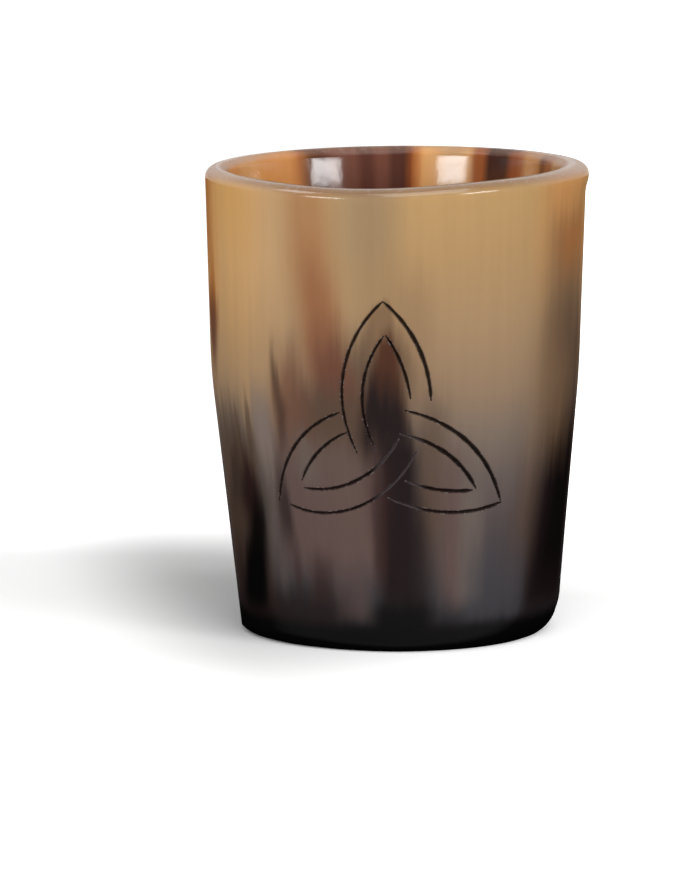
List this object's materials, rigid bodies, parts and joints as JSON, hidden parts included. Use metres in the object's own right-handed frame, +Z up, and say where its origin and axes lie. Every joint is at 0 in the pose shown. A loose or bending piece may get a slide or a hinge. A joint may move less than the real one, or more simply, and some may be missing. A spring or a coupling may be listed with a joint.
{
  "type": "horn drinking cup",
  "caption": "Small handleless drinking cup of polished horn, tapering to a flat foot closed by a glued-in disc, with an engraved knot on the front.",
  "frame": {"origin": "middle of the foot, on the surface that the cup stands on", "axes": "+Z up through the mouth, -Y towards the viewer on the side with the engraved knot, +X to the viewer's right"},
  "size_m": [0.0517, 0.0518, 0.0638],
  "materials": {
    "horn": "polished and sealed natural horn, honey and amber above, running into brown and black streaks at the foot",
    "base_horn": "dark horn plate, sanded flat and sealed",
    "glue": "clear amber cured adhesive"
  },
  "bodies": {
    "root": {"horn_wall": "horn", "base_disc": "base_horn", "glue_seam": "glue"}
  },
  "joints": []
}
